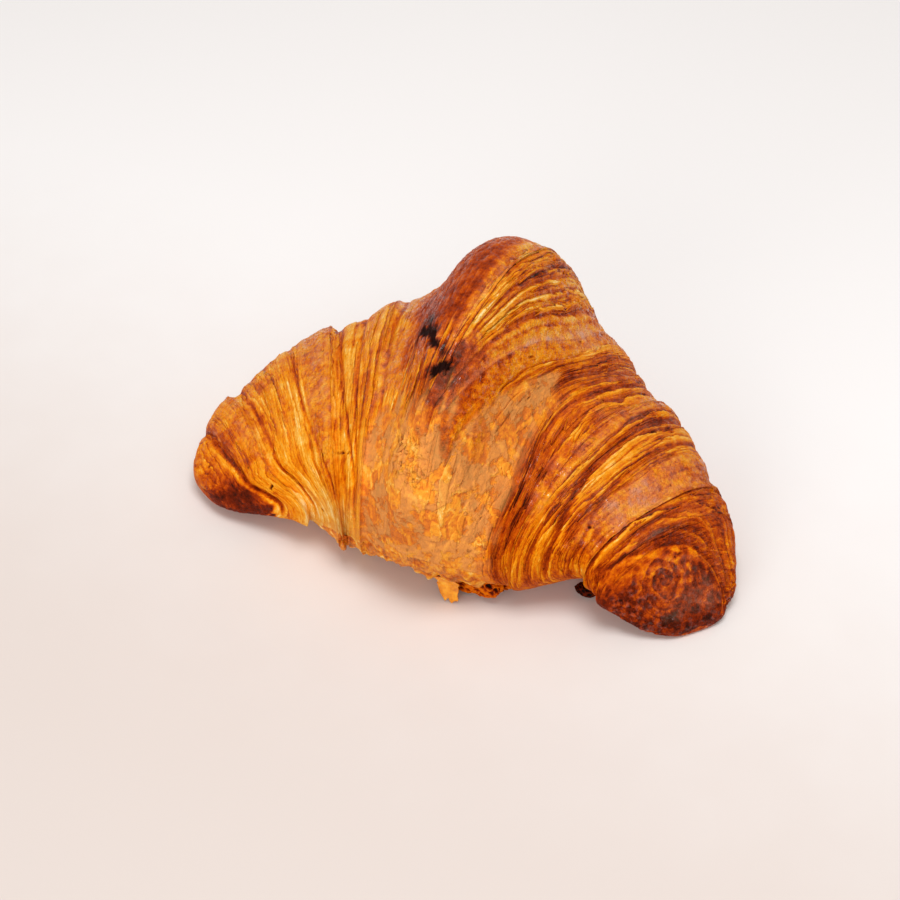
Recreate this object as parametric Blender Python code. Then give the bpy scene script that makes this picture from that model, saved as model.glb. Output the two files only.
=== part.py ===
"""A butter croissant, baked as one piece, resting on its flat belly.

Two tapered arms bend toward the viewer (-Y) from a high middle. Each arm is wrapped by
rolls of dough whose raised edges face the middle, and the last turn of the dough stands
up as a knob on top. One closed body, metres, +Z up, the belly on z = 0.
"""
import bpy
import numpy as np

for item in list(bpy.data.objects):
    bpy.data.objects.remove(item, do_unlink=True)

# Driving dimensions, metres and degrees. Left is -X, right is +X.
ARM_LENGTH = (0.0858, 0.0841)
ARM_BEND = (57.4, 45.5)
BEND_POWER = (1.344, 1.102)
MIDDLE_HALF_DEPTH = 0.0424
MIDDLE_HEIGHT = 0.0679
TIP_HALF_DEPTH = (0.0151, 0.0109)
TIP_HEIGHT = (0.0142, 0.0059)
DEPTH_TAPER = 1.24
HEIGHT_TAPER = 0.894
MIDDLE_SOFTNESS = 0.09
FRONT_FULLNESS = 1.2135
BACK_FULLNESS = 1.0587
ARCH_RISE = (0.0040, 0.0103)
ARCH_PLACE = (0.727, 0.676)
TIP_ROUNDING = (0.591, 0.123)
TIP_SQUARENESS = (2.95, 2.99)
BELLY_SINK = 0.0015
BACKWARD_LEAN = -0.018
KNOB_HEIGHT = 0.0161
KNOB_PLACE = 0.006
KNOB_WIDTH = (0.202, 0.216)
KNOB_ANGLE = 92.5
KNOB_SPREAD = 58.4
ORIGIN_SHIFT = (0.00005, 0.0026)
FLAKE_ALLOWANCE = 0.0008

# Wraps of dough, from the middle outward along each arm: where the raised edge stands,
# its rise in mm, where the wrap ends, and the level in mm it has sunk to by then.
LEFT_WRAPS = ((0.335, 1.9, 0.43, -0.3), (0.51, 2.2, 0.757, -1.6), (0.81, 1.5, 0.97, 0.5))
RIGHT_WRAPS = ((0.07, 2.1, 0.19, 0.1), (0.248, 2.2, 0.41, -0.3), (0.445, 2.2, 0.70, -2.1),
               (0.725, 0.9, 0.77, 1.2), (0.80, 2.7, 0.96, -0.2))
EDGE_HALF_WIDTH = 0.014

STATIONS = 112
POINTS_AROUND = 40


def smooth(x):
    """0 to 1 with level ends."""
    x = np.clip(x, 0.0, 1.0)
    return x * x * (3.0 - 2.0 * x)


def by_side(u, pair):
    """The left value where u is negative, the right value elsewhere."""
    return np.where(u < 0.0, pair[0], pair[1])


def spine(u):
    """Place and heading of the crescent's middle line; u runs -1 to 1 from tip to tip."""
    t = np.linspace(0.0, 1.0, 401)
    sides = []
    for arm, bend, power in zip(ARM_LENGTH, ARM_BEND, BEND_POWER):
        heading = np.radians(bend) * t ** power
        step_x = np.cos(heading) * arm / 400.0
        step_y = -np.sin(heading) * arm / 400.0
        along = np.concatenate([[0.0], np.cumsum((step_x[1:] + step_x[:-1]) / 2.0)])
        across = np.concatenate([[0.0], np.cumsum((step_y[1:] + step_y[:-1]) / 2.0)])
        sides.append((along, across, heading))
    size = np.abs(u)
    along, across, heading = [by_side(u, (np.interp(size, t, left), np.interp(size, t, right)))
                              for left, right in zip(*sides)]
    side = np.where(u < 0.0, -1.0, 1.0)
    return along * side, across, np.cos(heading), -np.sin(heading) * side


def station(lam, angle):
    """Where along the crescent a rolled layer passes at this angle round the body."""
    swirl = np.clip((112.0 - angle) / 58.0, 0.0, 1.0) ** 1.6 * (1.0 - smooth((-angle - 10.0) / 70.0))
    knob_fan = smooth((lam + 0.12) / 0.36) * (1.0 - smooth((lam - 0.25) / 0.13))
    shoulder = np.exp(-((angle - 84.0) / 25.0) ** 2) * np.exp(-((lam - 0.37) / 0.07) ** 2)
    sweep = smooth((50.0 - angle) / 60.0) * (1.0 - smooth((-angle - 20.0) / 60.0))
    left_roll = smooth((-lam - 0.42) / 0.26) * (1.0 - smooth((-lam - 0.82) / 0.20))
    u = lam - 0.20 * swirl * knob_fan - 0.06 * shoulder + 0.14 * sweep * left_roll
    return np.clip(u, -1.0, 1.0)


def wrap_rise(lam):
    """Rise of the wraps above the plain body, metres."""
    places, levels = [0.0], [0.0]
    for wraps, side in ((RIGHT_WRAPS, 1.0), (LEFT_WRAPS, -1.0)):
        level = 0.0
        points = []
        for edge, rise, end, sunk in wraps:
            points += [(edge - EDGE_HALF_WIDTH, level), (edge + EDGE_HALF_WIDTH, rise), (end, sunk)]
            level = sunk
        points.append((1.0, 0.0))
        places += [side * place for place, rise in points]
        levels += [rise for place, rise in points]
    order = np.argsort(places)
    return np.interp(lam, np.array(places)[order], np.array(levels)[order]) * 0.001


def skin(lam, angle):
    """Points of the crust for layer lam and angle round it (0 front, 90 top, 180 back)."""
    u = station(lam, angle)
    x, y, heading_x, heading_y = spine(u)
    out_x, out_y = heading_y, -heading_x
    size = np.sqrt(u ** 2 + MIDDLE_SOFTNESS ** 2) - MIDDLE_SOFTNESS
    size = np.clip(size / (np.sqrt(1.0 + MIDDLE_SOFTNESS ** 2) - MIDDLE_SOFTNESS), 1e-6, 1.0)
    tip_depth = by_side(u, TIP_HALF_DEPTH)
    tip_height = by_side(u, TIP_HEIGHT)
    depth = tip_depth + (MIDDLE_HALF_DEPTH - tip_depth) * (1.0 - size ** DEPTH_TAPER)
    height = tip_height + (MIDDLE_HEIGHT - tip_height) * (1.0 - size ** HEIGHT_TAPER)
    rounding = by_side(u, TIP_ROUNDING)
    square = by_side(u, TIP_SQUARENESS)
    past = np.clip((size - 1.0 + rounding) / rounding, 0.0, 1.0)
    closing = np.clip(1.0 - past ** square, 1e-6, 1.0) ** (1.0 / square)
    place = by_side(u, ARCH_PLACE)
    hump = np.exp(-((size - place) / 0.2) ** 2) - np.exp(-((1.0 - place) / 0.2) ** 2) * size ** 6
    level = by_side(u, ARCH_RISE) * hump + height * 0.46

    forward = np.cos(np.radians(angle))
    upward = np.sin(np.radians(angle))
    fullness = np.where(forward > 0.0, FRONT_FULLNESS, BACK_FULLNESS)
    across = depth * closing * fullness * np.sign(forward) * np.abs(forward) ** 0.92
    above = height * closing * 0.54 * np.abs(upward) ** 0.95
    below = -(height * 0.46 + BELLY_SINK) * closing * np.abs(upward) ** 0.80
    rise = np.where(upward > 0.0, above, below)

    from_knob = u - KNOB_PLACE
    knob = KNOB_HEIGHT * np.exp(-(from_knob / by_side(from_knob, KNOB_WIDTH)) ** 4)
    knob = knob * np.exp(-(((angle - KNOB_ANGLE + 180.0) % 360.0 - 180.0) / KNOB_SPREAD) ** 2)
    bare = smooth((angle + 70.0) / 50.0) * smooth((250.0 - angle) / 50.0)
    plain_flank = smooth((lam + 0.16) / 0.14) * (1.0 - smooth((lam - 0.33) / 0.08))
    bare = bare * (1.0 - plain_flank * (1.0 - smooth((angle - 40.0) / 40.0)))
    wraps = wrap_rise(lam) * bare * np.clip((1.0 - np.abs(u)) / 0.08, 0.0, 1.0) + FLAKE_ALLOWANCE
    reach = np.sqrt(across ** 2 + rise ** 2) + 1e-9
    grown = 1.0 + (knob + wraps) / np.maximum(reach, 0.004)
    across = across * grown
    rise = rise * grown

    z = level + rise
    px = x + out_x * across + ORIGIN_SHIFT[0]
    py = y + out_y * across + BACKWARD_LEAN * np.maximum(z - 0.03, 0.0) + ORIGIN_SHIFT[1]
    return np.stack([px, py, np.maximum(z, 0.0)], axis=-1)


def build_body():
    """Rings of points that follow the layers from tip to tip, closed by one point at each tip."""
    even = np.linspace(-1.0, 1.0, STATIONS)
    lam = 0.8 * even + 0.2 * np.sin(even * np.pi / 2.0)
    angle = np.linspace(-90.0, 270.0, POINTS_AROUND, endpoint=False)
    rings = skin(lam[:, None] + 0.0 * angle[None, :], angle[None, :] + 0.0 * lam[:, None])
    points = [tuple(p) for p in rings[1:-1].reshape(-1, 3)]
    count = STATIONS - 2
    faces = []
    for i in range(count - 1):
        for j in range(POINTS_AROUND):
            k = (j + 1) % POINTS_AROUND
            a, b = i * POINTS_AROUND + j, i * POINTS_AROUND + k
            c, d = b + POINTS_AROUND, a + POINTS_AROUND
            faces += [(a, c, b), (a, d, c)]
    for ring, row, flip in ((rings[0], 0, False), (rings[-1], count - 1, True)):
        tip = len(points)
        points.append(tuple(ring.mean(axis=0)))
        for j in range(POINTS_AROUND):
            a = row * POINTS_AROUND + j
            b = row * POINTS_AROUND + (j + 1) % POINTS_AROUND
            faces.append((tip, b, a) if flip else (tip, a, b))
    mesh = bpy.data.meshes.new("croissant")
    mesh.from_pydata(points, [], faces)
    mesh.update()
    body = bpy.data.objects.new("croissant", mesh)
    bpy.context.scene.collection.objects.link(body)
    return body


crust = bpy.data.materials.new("baked_crust")
crust.use_nodes = True
surface = crust.node_tree.nodes["Principled BSDF"]
surface.inputs["Base Color"].default_value = (0.60, 0.25, 0.045, 1.0)
surface.inputs["Roughness"].default_value = 0.5

croissant = build_body()
croissant.data.materials.append(crust)
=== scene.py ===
# %% [markdown]
# A butter croissant is one long triangle of dough, folded with butter into thin layers and
# rolled up. Baked, it is a crescent whose wraps step up toward the middle, and every wrap
# shows the edges of its layers as fine stripes. This lesson dresses the imported solid of the
# croissant with a finely layered crust, loose flakes, a burnt spot and a pale studio.
#
# The imported solid comes first, because every piece is placed in its frame.

# %% Load the imported croissant
import math

import bpy
import numpy as np
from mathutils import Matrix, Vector


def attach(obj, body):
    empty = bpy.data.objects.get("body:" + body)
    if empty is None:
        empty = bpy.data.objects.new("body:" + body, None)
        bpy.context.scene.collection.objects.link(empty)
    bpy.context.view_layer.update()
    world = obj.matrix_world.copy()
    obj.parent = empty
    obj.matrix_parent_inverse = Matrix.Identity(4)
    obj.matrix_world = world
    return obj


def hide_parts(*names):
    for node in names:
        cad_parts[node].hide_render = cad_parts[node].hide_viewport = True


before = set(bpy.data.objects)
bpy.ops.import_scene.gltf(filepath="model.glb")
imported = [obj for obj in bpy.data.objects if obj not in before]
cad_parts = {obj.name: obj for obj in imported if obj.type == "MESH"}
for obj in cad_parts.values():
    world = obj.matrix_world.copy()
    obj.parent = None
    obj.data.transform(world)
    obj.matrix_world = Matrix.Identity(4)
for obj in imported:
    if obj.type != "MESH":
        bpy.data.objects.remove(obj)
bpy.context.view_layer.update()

# %% [markdown]
# The body is a crescent. It could be sculpted, but a formula is easier to keep exact: a
# curved middle line, an egg-shaped section that shrinks toward the tips, and a knob on top.
# These are the same sizes as the solid's, in metres and degrees, left arm first.

# %% Sizes of the crescent
ARM_LENGTH = (0.0858, 0.0841)
ARM_BEND = (57.4, 45.5)
BEND_POWER = (1.344, 1.102)
MIDDLE_HALF_DEPTH = 0.0424
MIDDLE_HEIGHT = 0.0679
TIP_HALF_DEPTH = (0.0151, 0.0109)
TIP_HEIGHT = (0.0142, 0.0059)
DEPTH_TAPER = 1.24
HEIGHT_TAPER = 0.894
MIDDLE_SOFTNESS = 0.09
FRONT_FULLNESS = 1.2135
BACK_FULLNESS = 1.0587
ARCH_RISE = (0.0040, 0.0103)
ARCH_PLACE = (0.727, 0.676)
TIP_ROUNDING = (0.591, 0.123)
TIP_SQUARENESS = (2.95, 2.99)
BELLY_SINK = 0.0015
BACKWARD_LEAN = -0.018
KNOB_HEIGHT = 0.0161
KNOB_PLACE = 0.006
KNOB_WIDTH = (0.202, 0.216)
KNOB_ANGLE = 92.5
KNOB_SPREAD = 58.4
ORIGIN_SHIFT = (0.00005, 0.0026)
FLAKE_ALLOWANCE = 0.0008
LEFT_WRAPS = ((0.335, 1.9, 0.43, -0.3), (0.51, 2.2, 0.757, -1.6), (0.81, 1.5, 0.97, 0.5))
RIGHT_WRAPS = ((0.07, 2.1, 0.19, 0.1), (0.248, 2.2, 0.41, -0.3), (0.445, 2.2, 0.70, -2.1),
               (0.725, 0.9, 0.77, 1.2), (0.80, 2.7, 0.96, -0.2))
EDGE_HALF_WIDTH = 0.010
SPINE_STEPS = 400
MEETING_LAYER = -0.1
UNSEEN_LIFT = 0.0002


def smooth(x):
    """0 to 1 with level ends."""
    x = np.clip(x, 0.0, 1.0)
    return x * x * (3.0 - 2.0 * x)


def band(x, low, high, soft):
    """1 between low and high, falling to 0 over the soft width inside each end."""
    return smooth((x - low) / soft) * smooth((high - x) / soft)


def by_side(u, pair):
    """The left value where u is negative, the right value elsewhere."""
    return np.where(u < 0.0, pair[0], pair[1])


print("arm lengths in mm:", [round(length * 1000, 1) for length in ARM_LENGTH])

# %% [markdown]
# Two numbers place a point of the crust. The layer number runs from -1 at the left tip to 1
# at the right tip and keeps one value all round a rolled layer. The angle goes round the
# body: 0 at the front, 90 on top, 180 at the back. Layers don't lie square across the
# crescent: on the knob they fan out from its left foot, and near the left tip they sweep
# toward the middle as they come down the front.

# %% Middle line and the sweep of the layers
def spine(u):
    """Place and heading of the middle line for u from -1 to 1."""
    t = np.linspace(0.0, 1.0, SPINE_STEPS + 1)
    sides = []
    for arm, bend, power in zip(ARM_LENGTH, ARM_BEND, BEND_POWER):
        heading = np.radians(bend) * t ** power
        step_x = np.cos(heading) * arm / SPINE_STEPS
        step_y = -np.sin(heading) * arm / SPINE_STEPS
        along = np.concatenate([[0.0], np.cumsum((step_x[1:] + step_x[:-1]) / 2.0)])
        across = np.concatenate([[0.0], np.cumsum((step_y[1:] + step_y[:-1]) / 2.0)])
        sides.append((along, across, heading))
    size = np.abs(u)
    along, across, heading = [by_side(u, (np.interp(size, t, left), np.interp(size, t, right)))
                              for left, right in zip(*sides)]
    side = np.where(u < 0.0, -1.0, 1.0)
    return along * side, across, np.cos(heading), -np.sin(heading) * side


def station(lam, angle):
    """Where along the crescent a rolled layer passes at this angle round the body."""
    swirl = np.clip((112.0 - angle) / 58.0, 0.0, 1.0) ** 1.6
    swirl = swirl * (1.0 - smooth((-angle - 10.0) / 70.0))
    knob_fan = smooth((lam + 0.12) / 0.36) * (1.0 - smooth((lam - 0.25) / 0.13))
    shoulder = np.exp(-((angle - 84.0) / 25.0) ** 2) * np.exp(-((lam - 0.37) / 0.07) ** 2)
    sweep = smooth((50.0 - angle) / 60.0) * (1.0 - smooth((-angle - 20.0) / 60.0))
    left_roll = smooth((-lam - 0.42) / 0.26) * (1.0 - smooth((-lam - 0.82) / 0.20))
    u = lam - 0.20 * swirl * knob_fan - 0.06 * shoulder + 0.14 * sweep * left_roll
    return np.clip(u, -1.0, 1.0)


print("the layer 0.24 meets the front at", round(float(station(0.24, 40.0)), 3))

# %% [markdown]
# Every wrap of the roll starts with a raised edge and sinks until the next wrap begins, so
# its rise is a stepped line over the layer numbers. The skin then turns a layer number and
# an angle into a point, by the formula that the solid was made with, so that both agree.

# %% Wraps and the whole plain crust
def wrap_rise(lam):
    """Rise of the wraps above the plain body, metres."""
    places, levels = [0.0], [0.0]
    for wraps, side in ((RIGHT_WRAPS, 1.0), (LEFT_WRAPS, -1.0)):
        level = 0.0
        points = []
        for edge, rise, end, sunk in wraps:
            points += [(edge - EDGE_HALF_WIDTH, level), (edge + EDGE_HALF_WIDTH, rise), (end, sunk)]
            level = sunk
        points.append((1.0, 0.0))
        places += [side * place for place, rise in points]
        levels += [rise for place, rise in points]
    order = np.argsort(places)
    return np.interp(lam, np.array(places)[order], np.array(levels)[order]) * 0.001


def skin(lam, angle):
    """Points of the crust for layer lam and angle round it."""
    u = station(lam, angle)
    x, y, heading_x, heading_y = spine(u)
    out_x, out_y = heading_y, -heading_x
    size = np.sqrt(u ** 2 + MIDDLE_SOFTNESS ** 2) - MIDDLE_SOFTNESS
    size = np.clip(size / (np.sqrt(1.0 + MIDDLE_SOFTNESS ** 2) - MIDDLE_SOFTNESS), 1e-6, 1.0)
    tip_depth = by_side(u, TIP_HALF_DEPTH)
    tip_height = by_side(u, TIP_HEIGHT)
    depth = tip_depth + (MIDDLE_HALF_DEPTH - tip_depth) * (1.0 - size ** DEPTH_TAPER)
    height = tip_height + (MIDDLE_HEIGHT - tip_height) * (1.0 - size ** HEIGHT_TAPER)
    rounding = by_side(u, TIP_ROUNDING)
    square = by_side(u, TIP_SQUARENESS)
    past = np.clip((size - 1.0 + rounding) / rounding, 0.0, 1.0)
    closing = np.clip(1.0 - past ** square, 1e-6, 1.0) ** (1.0 / square)
    place = by_side(u, ARCH_PLACE)
    hump = np.exp(-((size - place) / 0.2) ** 2) - np.exp(-((1.0 - place) / 0.2) ** 2) * size ** 6
    level = by_side(u, ARCH_RISE) * hump + height * 0.46

    forward = np.cos(np.radians(angle))
    upward = np.sin(np.radians(angle))
    fullness = np.where(forward > 0.0, FRONT_FULLNESS, BACK_FULLNESS)
    across = depth * closing * fullness * np.sign(forward) * np.abs(forward) ** 0.92
    above = height * closing * 0.54 * np.abs(upward) ** 0.95
    below = -(height * 0.46 + BELLY_SINK) * closing * np.abs(upward) ** 0.80
    rise = np.where(upward > 0.0, above, below)

    from_knob = u - KNOB_PLACE
    knob = KNOB_HEIGHT * np.exp(-(from_knob / by_side(from_knob, KNOB_WIDTH)) ** 4)
    knob = knob * np.exp(-(((angle - KNOB_ANGLE + 180.0) % 360.0 - 180.0) / KNOB_SPREAD) ** 2)
    bare = smooth((angle + 70.0) / 50.0) * smooth((250.0 - angle) / 50.0)
    plain_flank = smooth((lam + 0.16) / 0.14) * (1.0 - smooth((lam - 0.33) / 0.08))
    bare = bare * (1.0 - plain_flank * (1.0 - smooth((angle - 40.0) / 40.0)))
    wraps = wrap_rise(lam) * bare * np.clip((1.0 - np.abs(u)) / 0.08, 0.0, 1.0) + FLAKE_ALLOWANCE
    reach = np.sqrt(across ** 2 + rise ** 2) + 1e-9
    grown = 1.0 + (knob + wraps) / np.maximum(reach, 0.004)
    across = across * grown
    rise = rise * grown

    z = level + rise
    px = x + out_x * across + ORIGIN_SHIFT[0]
    py = y + out_y * across + BACKWARD_LEAN * np.maximum(z - 0.03, 0.0) + ORIGIN_SHIFT[1]
    return np.stack([px, py, np.maximum(z, 0.0)], axis=-1)


top = skin(np.array(0.0), np.array(95.0))
print("top of the knob in mm:", np.round(top * 1000, 1))

# %% [markdown]
# Nothing in a croissant repeats, so the crust needs soft random values that depend only on
# the place. A small table of random numbers, read between its cells with smooth steps, is
# enough. Around the body the table closes on itself, so no seam shows. Scattered cells do
# for whatever comes in patches, such as blisters in the glaze and flakes on the flank.

# %% Soft random values and cells over the crust
def soft_noise(x, turn, around, seed):
    """Smooth values from 0 to 1; x is free, turn goes 0 to 1 round the body."""
    table = np.random.default_rng(seed).random((128, around))
    y = turn * around
    ix, iy = np.floor(x).astype(int), np.floor(y).astype(int)
    fx, fy = smooth(x - ix), smooth(y - iy)
    ax, bx = ix % 128, (ix + 1) % 128
    ay, by = iy % around, (iy + 1) % around
    low = table[ax, ay] * (1 - fx) + table[bx, ay] * fx
    high = table[ax, by] * (1 - fx) + table[bx, by] * fx
    return low * (1 - fy) + high * fy


def rough_noise(x, turn, around, seed):
    """Three soft noises, each half as strong and twice as fine as the one before."""
    total = soft_noise(x, turn, around, seed) * 4 / 7
    total = total + soft_noise(x * 2.03, turn, around * 2, seed + 1) * 2 / 7
    return total + soft_noise(x * 4.1, turn, around * 4, seed + 2) / 7


def lumps(points, size, seed):
    """Smooth values from 0 to 1 in space; size is the width of a lump in mm."""
    table = np.random.default_rng(seed).random((48, 48, 48))
    where = points * (1000.0 / size) + 500.0
    low = np.floor(where).astype(int)
    share = smooth(where - low)
    total = np.zeros(points.shape[:-1])
    for corner in np.ndindex(2, 2, 2):
        weight = np.ones(points.shape[:-1])
        for axis, far in enumerate(corner):
            weight = weight * (share[..., axis] if far else 1.0 - share[..., axis])
        at = (low + np.array(corner)) % 48
        total = total + weight * table[at[..., 0], at[..., 1], at[..., 2]]
    return total


def crags(points, size, seed):
    """Three sizes of lumps over each other, stretched to fill 0 to 1."""
    total = lumps(points, size, seed) * 4 / 7 + lumps(points, size / 2.1, seed + 1) * 2 / 7
    total = total + lumps(points, size / 4.3, seed + 2) / 7
    return np.clip(0.5 + 1.5 * (total - 0.5), 0.0, 1.0)


def cells(points, size, seed):
    """Distance to the nearest scattered centre, its lead over the second, and its own value."""
    rng = np.random.default_rng(seed)
    centres = rng.random((32, 32, 32, 3))
    values = rng.random((32, 32, 32))
    where = points * (1000.0 / size) + 500.0
    low = np.floor(where).astype(int)
    nearest = np.full(points.shape[:-1], 9.0)
    second = np.full(points.shape[:-1], 9.0)
    own = np.zeros(points.shape[:-1])
    for step in np.ndindex(3, 3, 3):
        cell = low + np.array(step) - 1
        at = cell % 32
        centre = cell + centres[at[..., 0], at[..., 1], at[..., 2]]
        distance = np.linalg.norm(centre - where, axis=-1)
        nearer = distance < nearest
        second = np.where(nearer, nearest, np.minimum(second, distance))
        own = np.where(nearer, values[at[..., 0], at[..., 1], at[..., 2]], own)
        nearest = np.minimum(nearest, distance)
    return nearest, second - nearest, own


def push(points, size, seeds):
    """A random push along each axis, from -0.5 to 0.5, in lumps of a size in mm."""
    return np.stack([lumps(points, size, seed) - 0.5 for seed in seeds], axis=-1)


print("one soft value:", np.round(soft_noise(np.array(3.3), np.array(0.2), 12, 5), 3))

# %% [markdown]
# The oven treats the crust unevenly. Wrap edges and the knob's left face stand out, catch
# the egg wash and turn glossy red brown; the tips turn darkest; the front flank stays pale
# and flaky; the underside is dull; and one thin edge by the knob's left foot has burnt.
# Each zone is a soft mask over the crust, and relief and colour are both mixed by them.

# %% Baking zones of the crust
BURNT_EDGE = ((-0.185, 82.5), (-0.143, 79.5), (-0.094, 74.5), (-0.023, 70.0), (0.10, 66.5), (0.0, 64.5))
CHARRED_PARTS = (BURNT_EDGE[:3], BURNT_EDGE[4:])
TORN_LINE = ((-0.16, 47.0), (0.06, 41.0), (0.19, 34.0), (0.22, 26.0))
GLAZED_WRAPS = ((1.00, 0.190, 0.304, 0.014, 46, 10), (0.85, -0.625, -0.515, 0.030, 12, 30),
                (0.65, -0.865, -0.785, 0.030, 30, 30), (0.80, 0.425, 0.492, 0.012, 22, 30),
                (0.90, 0.625, 0.742, 0.022, 12, 20))
GLAZED_STRIPS = ((1.00, 0.08, 0.30, 0.04, 52, 76, 6), (0.85, -0.36, -0.20, 0.04, 62, 94, 10))


def near_line(points, line, reach):
    """1 on a line over the crust, falling to 0 at about the reach in mm."""
    ends = np.array([skin(np.array(lam), np.array(angle)) for lam, angle in line])
    nearest = np.full(points.shape[:-1], 1.0)
    for start, end in zip(ends[:-1], ends[1:]):
        way = end - start
        share = np.clip(((points - start) @ way) / (way @ way), 0.0, 1.0)
        beside = points - start - share[..., None] * way
        nearest = np.minimum(nearest, np.linalg.norm(beside, axis=-1))
    return np.exp(-(nearest * 1000.0 / reach) ** 2)


def lean(lam, angle):
    """Layer number, with the last layers leaning back over the shoulder of the right tip."""
    over = smooth((angle - 72.0) / 85.0) * (1.0 - smooth((angle - 195.0) / 65.0))
    return lam - 0.145 * over * smooth((lam - 0.72) / 0.20)


def zones(lam, angle, points):
    """Masks from 0 to 1 for the glazed, pale, dark, burnt, torn and lower parts of the crust."""
    turn = (angle + 90.0) / 360.0
    place = station(lam, angle)
    edge = lean(lam, angle) + 0.045 * (rough_noise(place * 26, turn, 20, 31) - 0.5)
    tilt = angle + 36.0 * (rough_noise(place * 20, turn, 14, 41) - 0.5)
    face = edge + np.clip(angle - 99.0, -32.0, 25.0) * 0.0036
    knob_face = smooth((face + 0.275) / 0.022) * smooth((0.085 - edge) / 0.02)
    knob_face = knob_face * smooth((tilt - 68) / 10) * (1.0 - smooth((tilt - 116) / 26))
    glaze = np.maximum(knob_face, smooth((edge - 0.850) / 0.02))
    for shine, low, high, soft, start, rise in GLAZED_WRAPS:
        glaze = np.maximum(glaze, shine * band(edge, low, high, soft) * smooth((tilt - start) / rise))
    for shine, low, high, soft, start, end, fade in GLAZED_STRIPS:
        glaze = np.maximum(glaze, shine * band(edge, low, high, soft) * band(tilt, start, end, fade))
    slope = 54.0 + 34.0 * smooth((lam - 0.28) / 0.05)
    warm = band(tilt, 46, 72, 8) * band(edge, -0.14, 0.30, 0.06)
    flank = smooth((edge + 0.40) / 0.10) * smooth((0.384 - edge) / 0.045)
    flank = flank * (1.0 - smooth((tilt - slope) / 9)) * (1.0 - glaze) * (1.0 - 0.5 * warm)
    cap_edge = 0.832 - 0.045 * smooth((90.0 - angle) / 70.0)
    right_cap = smooth((edge - cap_edge) / 0.015)
    left_cap = smooth((-edge - 0.905) / 0.02) * (1.0 - 0.75 * smooth((tilt - 30) / 50))
    burnt = 0.55 * near_line(points, BURNT_EDGE, 2.4)
    for part in CHARRED_PARTS:
        burnt = np.maximum(burnt, near_line(points, part, 1.7))
    broken = 0.5 * (crags(points, 5.0, 53) - 0.5) + 1.7 * (crags(points, 2.4, 51) - 0.5)
    under = np.maximum(1.0 - smooth((angle + 46) / 20), smooth((angle - 214) / 25))
    halo = 0.65 * near_line(points, BURNT_EDGE, 7.5) + 0.65 * near_line(points, BURNT_EDGE, 3.2)
    return {"glaze": glaze, "flank": flank, "warm": warm, "cap": np.maximum(right_cap, left_cap),
            "char": smooth((burnt * 1.3 + broken - 0.70) / 0.40), "halo": halo,
            "torn": near_line(points, TORN_LINE, 3.6), "under": under}


spots_lam, spots_angle = np.array([0.28, -0.1, 0.9]), np.array([100.0, 90.0, 60.0])
sample = zones(spots_lam, spots_angle, skin(spots_lam, spots_angle))
print("glaze on wrap, knob face and tip:", np.round(sample["glaze"], 2))

# %% [markdown]
# The layers are the croissant's signature. Each ends in a raised lip that faces the middle
# and slopes down to the next. Three families lie over each other: broad folds, the layers
# in them, and thin leaves. Every lip follows a path of its own round the body, and where
# one path runs over another it hides it, so layers merge and split as real ones do.

# %% Paths of the dough layers
FOLDS = (0.050, 0.028, 101)
LAYERS = (0.0175, 0.016, 110)
THIN_LEAVES = (0.0072, 0.007, 120)
KNOB_SEAMS = (0.0115, 0.005, 130)
DRIFTS = ((1.7, 8), (0.75, 25), (0.30, 90))


def leaves(lam, angle, spacing, drift, seed):
    """Place in each leaf from 0 at its lip to 1, and its tone and prominence."""
    rng = np.random.default_rng(seed)
    count = int(2.4 / spacing)
    widths = 0.35 + 1.5 * rng.random(count) ** 1.6
    start = -1.2 + 2.4 * np.cumsum(widths) / widths.sum()
    tones = rng.random(count)
    turn = (angle[0] + 90.0) / 360.0
    number = np.arange(count)[:, None] * 5.0 + np.zeros_like(turn)
    turns = np.zeros_like(number) + turn
    paths = start[:, None]
    for index, (share, waves) in enumerate(DRIFTS, 1):
        paths = paths + drift * share * (soft_noise(number, turns, waves, seed + index) - 0.5)
    paths = np.maximum.accumulate(paths, axis=0) + 1e-6 * np.arange(count)[:, None]
    proud = smooth((soft_noise(number, turns, 13, seed + 4) - 0.12) / 0.6)
    shade = soft_noise(number, turns, 15, seed + 5) * 0.5 + 0.5 * tones[:, None]
    place, tone, prominence = np.zeros_like(lam), np.zeros_like(lam), np.zeros_like(lam)
    for column in range(lam.shape[1]):
        path = paths[:, column]
        found = np.clip(np.searchsorted(path, lam[:, column]) - 1, 0, count - 2)
        width = path[found + 1] - path[found]
        place[:, column] = (lam[:, column] - path[found]) / width
        tone[:, column] = shade[found, column]
        prominence[:, column] = proud[found, column] * np.clip(width / spacing, 0.0, 1.0)
    return np.where(lam < MEETING_LAYER, 1.0 - place, place), tone, prominence


test_lam, test_angle = np.meshgrid(np.linspace(0.4, 0.6, 50), np.linspace(0, 90, 4), indexing="ij")
print("layer places along one line:", np.round(leaves(test_lam, test_angle, *LAYERS)[0][::10, 0], 2))

# %% [markdown]
# A few furrows are deeper than the rest and can be told apart by eye, so they are placed
# one by one: where wraps meet on the right arm, and round both tip caps. The right cap also
# shows the end of the roll as a small coil, like a snail's shell.

# %% Furrows between wraps and the coil on the right cap
FURROWS = ((0.347, 0.388, 0.8, 0.013), (0.398, 0.396, 0.8, 0.012), (0.518, 0.590, 1.1, 0.016),
           (0.597, 0.676, 0.7, 0.011), (0.745, 0.752, 0.6, 0.010), (0.835, 0.787, 0.75, 0.010),
           (0.205, 0.215, 0.6, 0.010), (-0.318, -0.262, 0.5, 0.010), (-0.430, -0.395, 0.5, 0.010),
           (-0.500, -0.405, 0.7, 0.011), (-0.640, -0.560, 0.5, 0.010), (-0.790, -0.770, 0.7, 0.011),
           (-0.922, -0.896, 1.3, 0.012))
COIL_CENTRE = (0.0648, -0.0274, 0.0168)


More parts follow.
